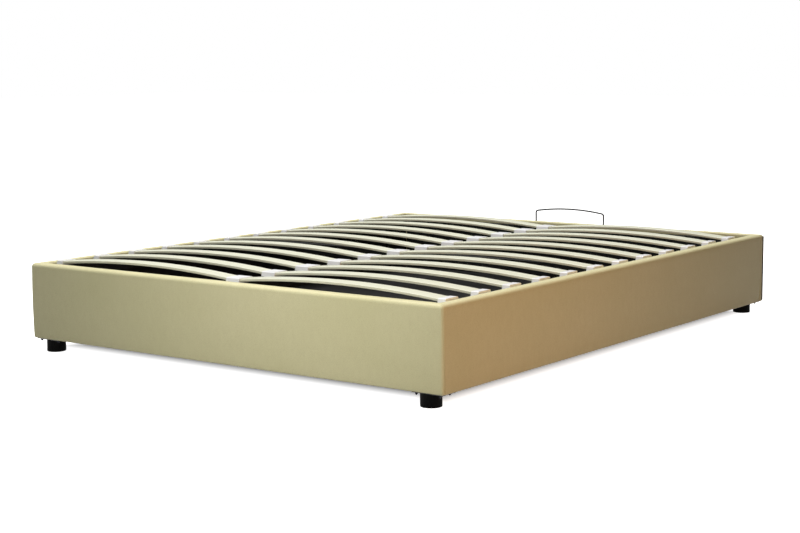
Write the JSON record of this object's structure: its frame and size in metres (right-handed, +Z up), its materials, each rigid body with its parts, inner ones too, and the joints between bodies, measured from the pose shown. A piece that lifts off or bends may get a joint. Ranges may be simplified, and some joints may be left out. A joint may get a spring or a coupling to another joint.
{
  "type": "ottoman storage bed",
  "caption": "Low upholstered bed box whose sprung-slat platform lifts at the foot on a head-end hinge and gas struts over a storage space.",
  "frame": {"origin": "centre of the box's outline on the floor, under the legs' soles", "axes": "+X across the width to the right seen from the foot end, +Y along the length towards the head end, +Z up"},
  "size_m": [1.6, 2, 0.336],
  "materials": {
    "upholstery": "soft matte synthetic leather, cream",
    "dark_board": "black faced chipboard",
    "floor_board": "dark grey faced hardboard",
    "back_cloth": "black non-woven cloth",
    "black_steel": "satin black powder coat",
    "zinc_steel": "zinc plated",
    "pad_rubber": "matte rubber",
    "slat_wood": "cream white bent laminated wood",
    "cap_plastic": "milky white plastic",
    "leg_plastic": "black plastic",
    "strut_body": "black painted tube",
    "strut_rod": "polished rod"
  },
  "bodies": {
    "base": {"back_cloth": "back_cloth", "corner_brackets": "black_steel", "floor_battens": "dark_board", "floor_panels": "floor_board", "foot_board": "dark_board", "foot_cover": "upholstery", "head_board": "dark_board", "head_cover": "upholstery", "hinge_pins": "zinc_steel", "hinge_plate_left": "black_steel", "hinge_plate_right": "black_steel", "leg_foot_left": "leg_plastic", "leg_foot_right": "leg_plastic", "leg_head_left": "leg_plastic", "leg_head_right": "leg_plastic", "leg_plates": "black_steel", "mattress_stop_bar": "black_steel", "rest_batten": "dark_board", "rest_pads": "pad_rubber", "screws": "zinc_steel", "side_board_left": "dark_board", "side_board_right": "dark_board", "side_cover_left": "upholstery", "side_cover_right": "upholstery"},
    "platform": {"centre_caps": "cap_plastic", "centre_rail": "black_steel", "cross_rails": "black_steel", "end_caps": "cap_plastic", "foot_rail": "black_steel", "head_rail": "black_steel", "side_rail_left": "black_steel", "side_rail_right": "black_steel", "slat_01_left": "slat_wood", "slat_01_right": "slat_wood", "slat_02_left": "slat_wood", "slat_02_right": "slat_wood", "slat_03_left": "slat_wood", "slat_03_right": "slat_wood", "slat_04_left": "slat_wood", "slat_04_right": "slat_wood", "slat_05_left": "slat_wood", "slat_05_right": "slat_wood", "slat_06_left": "slat_wood", "slat_06_right": "slat_wood", "slat_07_left": "slat_wood", "slat_07_right": "slat_wood", "slat_08_left": "slat_wood", "slat_08_right": "slat_wood", "slat_09_left": "slat_wood", "slat_09_right": "slat_wood", "slat_10_left": "slat_wood", "slat_10_right": "slat_wood", "slat_11_left": "slat_wood", "slat_11_right": "slat_wood", "slat_12_left": "slat_wood", "slat_12_right": "slat_wood"},
    "left_cylinder": {"strut_cylinder_left": "strut_body"},
    "right_cylinder": {"strut_cylinder_right": "strut_body"},
    "left_rod": {"strut_rod_left": "strut_rod"},
    "right_rod": {"strut_rod_right": "strut_rod"}
  },
  "joints": [
    {"name": "platform_lift", "type": "hinge", "parent": "base", "child": "platform", "pos_m": [0, 0.895, 0.211], "axis": [-1, 0, 0], "range_deg": [0, 40]},
    {"name": "left_cylinder_swing", "type": "hinge", "parent": "base", "child": "left_cylinder", "pos_m": [-0.7432, 0.855, 0.081], "axis": [-1, 0, 0], "range_deg": [0, 35.1]},
    {"name": "right_cylinder_swing", "type": "hinge", "parent": "base", "child": "right_cylinder", "pos_m": [0.7432, 0.855, 0.081], "axis": [-1, 0, 0], "range_deg": [0, 35.1]},
    {"name": "left_rod_swing", "type": "hinge", "parent": "platform", "child": "left_rod", "pos_m": [-0.7432, 0.545, 0.211], "axis": [-1, 0, 0], "range_deg": [-5, 0]},
    {"name": "right_rod_swing", "type": "hinge", "parent": "platform", "child": "right_rod", "pos_m": [0.7432, 0.545, 0.211], "axis": [-1, 0, 0], "range_deg": [-5, 0]}
  ],
  "couplings": [
    {"joint": "left_cylinder_swing", "follows": "platform_lift", "ratio": 0.8764},
    {"joint": "right_cylinder_swing", "follows": "platform_lift", "ratio": 0.8764},
    {"joint": "left_rod_swing", "follows": "platform_lift", "ratio": -0.1236},
    {"joint": "right_rod_swing", "follows": "platform_lift", "ratio": -0.1236}
  ]
}
